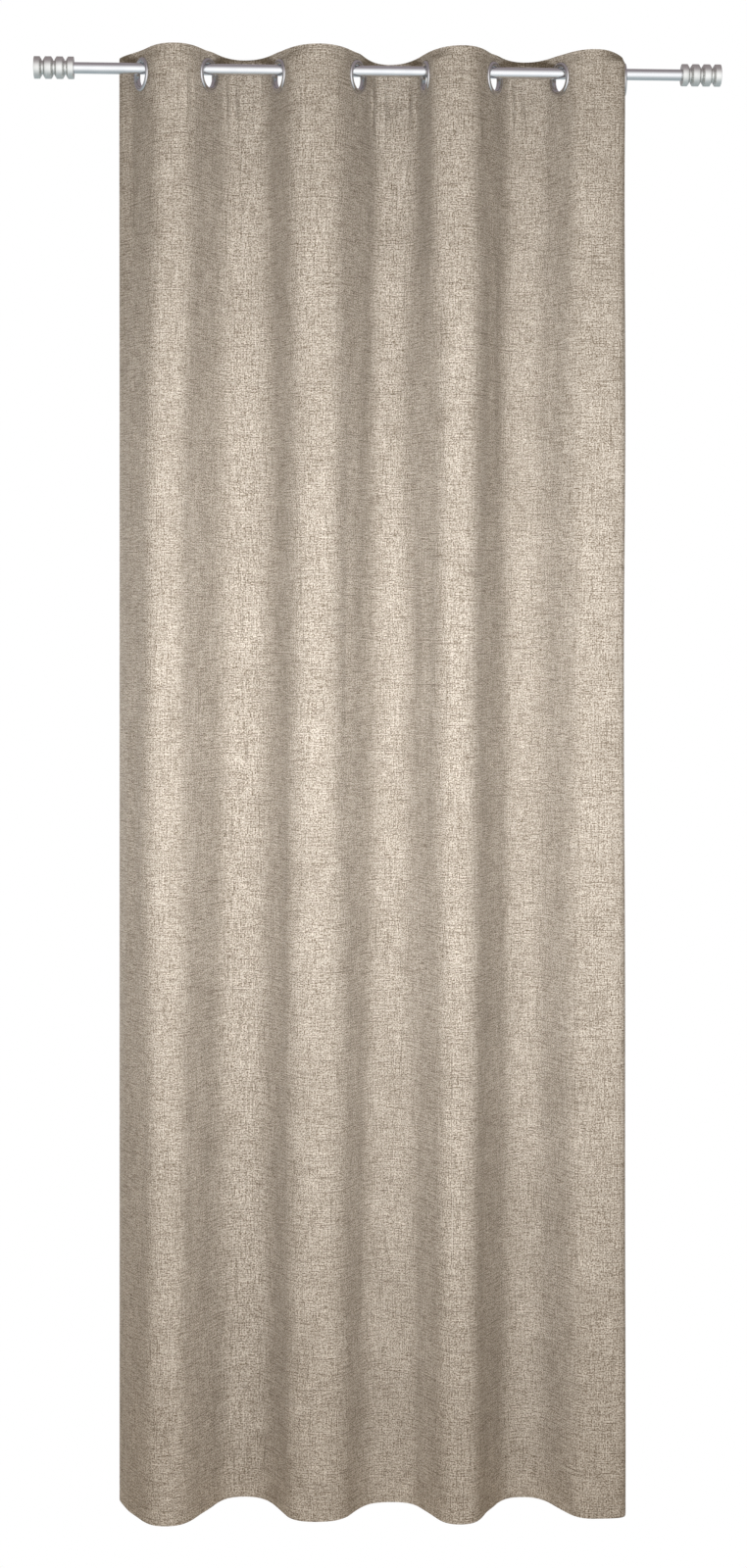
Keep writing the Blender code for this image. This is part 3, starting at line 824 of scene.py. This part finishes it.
def eyelets():
    """A rim on the room side and a washer on the wall side of every hole."""
    for index in range(len(EYELETS)):
        body = f"fold_{index + 1}"
        for name, profile, cad in (("eyelet_rim", rim_profile(), "eyelet_front"),
                                   ("eyelet_washer", washer_profile(), "eyelet_back")):
            piece = turned_piece(f"{name}_{index + 1}", profile, eyelet_place(index), 96, CHROME, 50)
            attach(piece, body)
            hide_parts(f"{cad}_{index + 1}")


ROD_WALL = 0.0012
ROD_SOFT = 0.0003


def rod():
    """A plain tube with softened ends."""
    inner = ROD_RADIUS - ROD_WALL
    soft = ROD_SOFT
    profile = [(inner, -ROD_HALF), (ROD_RADIUS - soft, -ROD_HALF), (ROD_RADIUS, soft - ROD_HALF)]
    profile += [(ROD_RADIUS, ROD_HALF - soft), (ROD_RADIUS - soft, ROD_HALF), (inner, ROD_HALF)]
    piece = turned_piece("rod", profile, Matrix.Rotation(math.pi / 2, 4, "Y"), 128, TUBE)
    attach(piece, "rod")
    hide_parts("rod_tube")


GROOVE_COUNT = 3
GROOVE_PITCH = 0.0191
GROOVE_WIDTH = 0.0036
GROOVE_FLOOR = 0.0118
RIB_CHAMFER_WIDTH = 0.0026
RIB_CHAMFER_DEPTH = 0.0042
RIB_ROUND = 0.0006
SOCKET_RADIUS = 0.0098
SOCKET_DEPTH = 0.0303


def finial_profile():
    """Ribs with bevelled shoulders, narrow grooves between them and a blind socket for the tube."""
    length = FINIAL_END - FINIAL_FACE
    outer = FINIAL_RADIUS
    shoulder = outer - RIB_CHAMFER_DEPTH
    points = [(0, SOCKET_DEPTH), (SOCKET_RADIUS, SOCKET_DEPTH), (SOCKET_RADIUS, 0)]
    points += arc((outer - RIB_ROUND, RIB_ROUND), (RIB_ROUND, RIB_ROUND), -90, 0, 4)
    for i in range(GROOVE_COUNT):
        centre = length / 2 + (i - (GROOVE_COUNT - 1) / 2) * GROOVE_PITCH
        half = [(outer, RIB_CHAMFER_WIDTH + RIB_ROUND), (outer - 0.0002, RIB_CHAMFER_WIDTH)]
        half += [(shoulder + 0.0004, 0.0003), (shoulder, 0)]
        half += [(GROOVE_FLOOR + 0.0004, 0), (GROOVE_FLOOR, -0.0004)]
        edge = GROOVE_WIDTH / 2
        points += [(radius, centre - edge - away) for radius, away in half]
        points += [(radius, centre + edge + away) for radius, away in reversed(half)]
    points += arc((outer - RIB_ROUND, length - RIB_ROUND), (RIB_ROUND, RIB_ROUND), 0, 90, 4)
    points += [(0, length)]
    return points


def finials():
    """A turned finial on each end of the rod, and its grub screw's dark finish."""
    for side, direction in (("left", -1), ("right", 1)):
        turn = Matrix.Rotation(direction * math.pi / 2, 4, "Y")
        place = Matrix.Translation((direction * FINIAL_FACE, 0, 0)) @ turn
        piece = turned_piece(f"finial_{side}_turned", finial_profile(), place, 96, TURNED, 30)
        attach(piece, "rod")
        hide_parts(f"finial_{side}")
        screw = frame["nodes"][f"finial_screw_{side}"]
        screw.data.materials.clear()
        screw.data.materials.append(DARK_STEEL)


# --------------------------------------------------------------------------- studio and camera
FLOOR_DROP = 0.30
FLOOR_HALF = 9
FLOOR_COLOUR = (0.36, 0.27, 0.17, 1)


def floor():
    """Floor that reads as white, and gives the cloth only a little warm light from below."""
    height = CLOTH_BOTTOM - FLOOR_DROP
    half = FLOOR_HALF
    corners = ((-half, -half), (half, -half), (half, half), (-half, half))
    mesh = bpy.data.meshes.new("floor")
    mesh.from_pydata([(x, y, height) for x, y in corners], [], [(0, 1, 2, 3)])
    obj = bpy.data.objects.new("floor", mesh)
    bpy.context.scene.collection.objects.link(obj)
    pale, nodes, links, shader = new_material("pale_floor")
    shader.inputs["Base Color"].default_value = FLOOR_COLOUR
    shader.inputs["Roughness"].default_value = 0.9
    glow = node(nodes, "ShaderNodeEmission", Strength=1.0)
    seen = node(nodes, "ShaderNodeLightPath")
    mix = node(nodes, "ShaderNodeMixShader")
    links.new(seen.outputs["Is Camera Ray"], mix.inputs[0])
    links.new(shader.outputs["BSDF"], mix.inputs[1])
    links.new(glow.outputs["Emission"], mix.inputs[2])
    links.new(mix.outputs["Shader"], nodes["Material Output"].inputs["Surface"])
    mesh.materials.append(pale)
    obj.visible_glossy = False


def sky():
    """White surround, a dim soft fill on the cloth, and for the metal one bright wall in front."""
    world = bpy.data.worlds.new("studio")
    bpy.context.scene.world = world
    world.use_nodes = True
    nodes, links = world.node_tree.nodes, world.node_tree.links
    direction = node(nodes, "ShaderNodeTexCoord").outputs["Generated"]
    split = node(nodes, "ShaderNodeSeparateXYZ")
    links.new(direction, split.inputs["Vector"])
    frontal = combine(nodes, links, "SUBTRACT",
                      combine(nodes, links, "MULTIPLY", split.outputs["Z"], math.sin(WALL_TILT)),
                      combine(nodes, links, "MULTIPLY", split.outputs["Y"], math.cos(WALL_TILT)))
    lobe = combine(nodes, links, "POWER", combine(nodes, links, "MAXIMUM", frontal, 0), WALL_FALLOFF)
    surround = tint(nodes, links, ramp(nodes, links, split.outputs["Z"], -0.25, 0.35),
                    LOW_REFLECTION, HIGH_REFLECTION)
    mirror = tint(nodes, links, lobe, surround, FRONT_REFLECTION)
    seen = node(nodes, "ShaderNodeLightPath")
    lit = tint(nodes, links, seen.outputs["Is Glossy Ray"], FILL_LIGHT, mirror)
    lit = tint(nodes, links, seen.outputs["Is Camera Ray"], lit, (1, 1, 1, 1))
    links.new(lit, nodes["Background"].inputs["Color"])


WALL_TILT = math.radians(-10)
WALL_FALLOFF = 2.6
LOW_REFLECTION = (0.48, 0.54, 0.56, 1)
HIGH_REFLECTION = (0.34, 0.30, 0.315, 1)
FRONT_REFLECTION = (1.45, 1.45, 1.46, 1)
FILL_LIGHT = (0.37, 0.32, 0.255, 1)
LIGHT_HEIGHT = -1.05
# name, place along X and Y, turn about Z in degrees, power in watts
PANELS = (("key", -0.60, -1.70, 0, 31), ("fill", 0.46, -1.70, 0, 22),
          ("back_left", -1.25, 1.45, -139, 34), ("back_right", 1.25, 1.45, 139, 34))
PANEL_SIZE = (0.50, 0.60)


def panels():
    """Soft upright lights in front of the cloth and behind it."""
    for name, along, away, turn, power in PANELS:
        light = bpy.data.lights.new(name, "AREA")
        light.shape = "RECTANGLE"
        light.size, light.size_y = PANEL_SIZE
        light.energy = power
        lamp = bpy.data.objects.new(name, light)
        lamp.location = (along, away, LIGHT_HEIGHT)
        lamp.rotation_euler = (math.pi / 2, 0, math.radians(turn))
        lamp.visible_camera = False
        lamp.visible_glossy = False
        bpy.context.scene.collection.objects.link(lamp)


VIEW_DISTANCE = 3.95
VIEW_TURN = math.radians(3)
VIEW_HEIGHT = -0.909


def camera():
    """Stands low in front of the curtain and a little to its left."""
    lens = bpy.data.cameras.new("camera")
    lens.sensor_fit = "AUTO"
    lens.sensor_width = 36
    lens.lens = 53.87
    lens.shift_y = -0.1100
    lens.shift_x = -0.0040
    lens.clip_end = 60
    eye = bpy.data.objects.new("camera", lens)
    eye.location = (-VIEW_DISTANCE * math.sin(VIEW_TURN), -VIEW_DISTANCE * math.cos(VIEW_TURN),
                    VIEW_HEIGHT)
    eye.rotation_euler = (math.pi / 2, 0, -VIEW_TURN)
    bpy.context.scene.collection.objects.link(eye)
    bpy.context.scene.camera = eye


bpy.context.scene.view_settings.view_transform = "Standard"
camera()
floor()
sky()
panels()
rod()
finials()
eyelets()
curtain()
